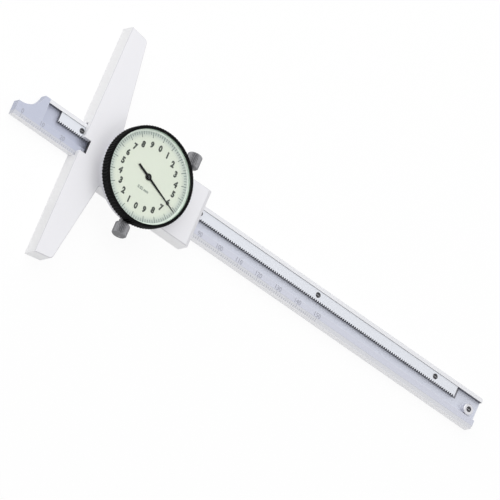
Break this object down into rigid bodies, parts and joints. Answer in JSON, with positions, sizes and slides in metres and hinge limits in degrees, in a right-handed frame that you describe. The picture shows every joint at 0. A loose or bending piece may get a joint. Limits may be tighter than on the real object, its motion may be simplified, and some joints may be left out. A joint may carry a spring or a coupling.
{
  "type": "dial depth gauge",
  "caption": "Dial depth gauge: a T-shaped steel base, a beam with a rack that slides through it, and a round geared dial with a knurled bezel and thumb screws.",
  "frame": {"origin": "on the pointer's axis, in the plane of the base's back face", "axes": "+X along the beam towards its tail, away from the measuring face; +Y across the beam, towards the dial's 0; +Z out of the dial"},
  "size_m": [0.2333, 0.1, 0.0132],
  "materials": {
    "body_steel": "satin chrome",
    "beam_steel": "satin, ground lengthwise",
    "rack_steel": "ground",
    "screw_steel": "turned",
    "knob_steel": "dark satin, knurled",
    "case_aluminium": "satin",
    "spring_steel": "drawn",
    "brass": "satin",
    "bronze": "satin",
    "dial_paint": "matt, printed",
    "spacer_plastic": "matt",
    "crystal_clear": "clear, polished",
    "bezel_black": "black satin",
    "pointer_black": "black matt"
  },
  "bodies": {
    "frame": {"base_frame": "body_steel", "back_plate": "body_steel", "back_plate_screws": "screw_steel", "gib_strip": "bronze", "gib_screws": "screw_steel", "bezel_clamp_shoe": "screw_steel", "dial_case": "case_aluminium", "bezel_snap_ring": "spring_steel", "movement_plate": "brass", "bridge_plate": "brass", "movement_screws": "screw_steel", "movement_pillars": "brass", "bridge_screws": "screw_steel", "pivot_bushes": "bronze", "hairspring": "spring_steel", "hairspring_stud": "brass"},
    "beam": {"beam": "beam_steel", "rack": "rack_steel", "rack_screws": "screw_steel", "beam_stop_collar": "rack_steel", "beam_stop_screw": "screw_steel"},
    "bezel": {"bezel_ring": "bezel_black", "crystal": "crystal_clear", "dial_face": "dial_paint", "dial_spacer_ring": "spacer_plastic", "dial_retaining_ring": "spring_steel"},
    "pointer": {"pointer": "pointer_black", "pointer_hub": "pointer_black", "centre_arbor": "screw_steel"},
    "drive_wheel": {"rack_pinion": "screw_steel", "drive_gear": "brass"},
    "take_up_wheel": {"take_up_arbor": "screw_steel", "take_up_gear": "brass", "hairspring_collet": "brass"},
    "lock_screw": {"lock_screw": "knob_steel"},
    "clamp_screw": {"bezel_clamp_screw": "knob_steel"}
  },
  "joints": [
    {"name": "beam_slide", "type": "slide", "parent": "frame", "child": "beam", "axis": [-1, 0, 0], "range_m": [-0.03062, 0.11938]},
    {"name": "bezel_turn", "type": "hinge", "parent": "frame", "child": "bezel", "pos_m": [0, 0, 0.0113], "axis": [0, 0, 1], "continuous": true},
    {"name": "pointer_turn", "type": "hinge", "parent": "frame", "child": "pointer", "pos_m": [0, 0, 0.0095], "axis": [0, 0, 1], "continuous": true},
    {"name": "drive_wheel_turn", "type": "hinge", "parent": "frame", "child": "drive_wheel", "pos_m": [0.00718, -0.00059, 0.009], "axis": [0, 0, 1], "continuous": true},
    {"name": "take_up_wheel_turn", "type": "hinge", "parent": "frame", "child": "take_up_wheel", "pos_m": [-0.00718, 0.00059, 0.009], "axis": [0, 0, 1], "continuous": true},
    {"name": "lock_screw_turn", "type": "hinge", "parent": "frame", "child": "lock_screw", "pos_m": [0.0191, 0.0124, 0.00305], "axis": [0, 1, 0], "range_deg": [-30, 540]},
    {"name": "clamp_screw_turn", "type": "hinge", "parent": "frame", "child": "clamp_screw", "pos_m": [0, -0.0188, 0.0082], "axis": [0, -1, 0], "range_deg": [-30, 540]}
  ],
  "couplings": [
    {"joint": "drive_wheel_turn", "follows": "beam_slide", "rad_per_m": 628.32},
    {"joint": "pointer_turn", "follows": "beam_slide", "rad_per_m": -3141.6},
    {"joint": "take_up_wheel_turn", "follows": "beam_slide", "rad_per_m": 628.32}
  ]
}
